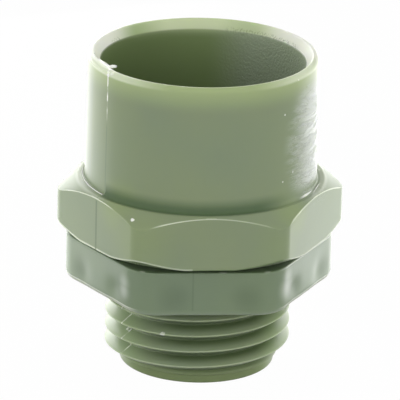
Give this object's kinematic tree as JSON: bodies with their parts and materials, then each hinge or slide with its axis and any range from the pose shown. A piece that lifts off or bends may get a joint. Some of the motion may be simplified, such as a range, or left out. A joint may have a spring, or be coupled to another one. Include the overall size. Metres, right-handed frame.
{
  "type": "conduit connector",
  "caption": "Straight PVC connector for electrical conduit: plain socket, hexagonal flange and threaded spigot, with a hexagonal locknut.",
  "frame": {"origin": "middle of the spigot's end face, on the fitting's axis", "axes": "+Z along the axis from the threaded spigot to the socket's mouth, Y square to two of the flange's faces"},
  "size_m": [0.0318, 0.0282, 0.0358],
  "materials": {
    "body_pvc": "moulded grey-green PVC, satin",
    "nut_pvc": "moulded grey-green PVC, a little darker and bluer, satin"
  },
  "bodies": {
    "connector": {"connector_body": "body_pvc"},
    "nut": {"locknut": "nut_pvc"}
  },
  "joints": [
    {"name": "locknut_turn", "type": "hinge", "parent": "connector", "child": "nut", "pos_m": [0, 0, 0.01223], "axis": [0, 0, 1], "range_deg": [-2670, 93]}
  ]
}
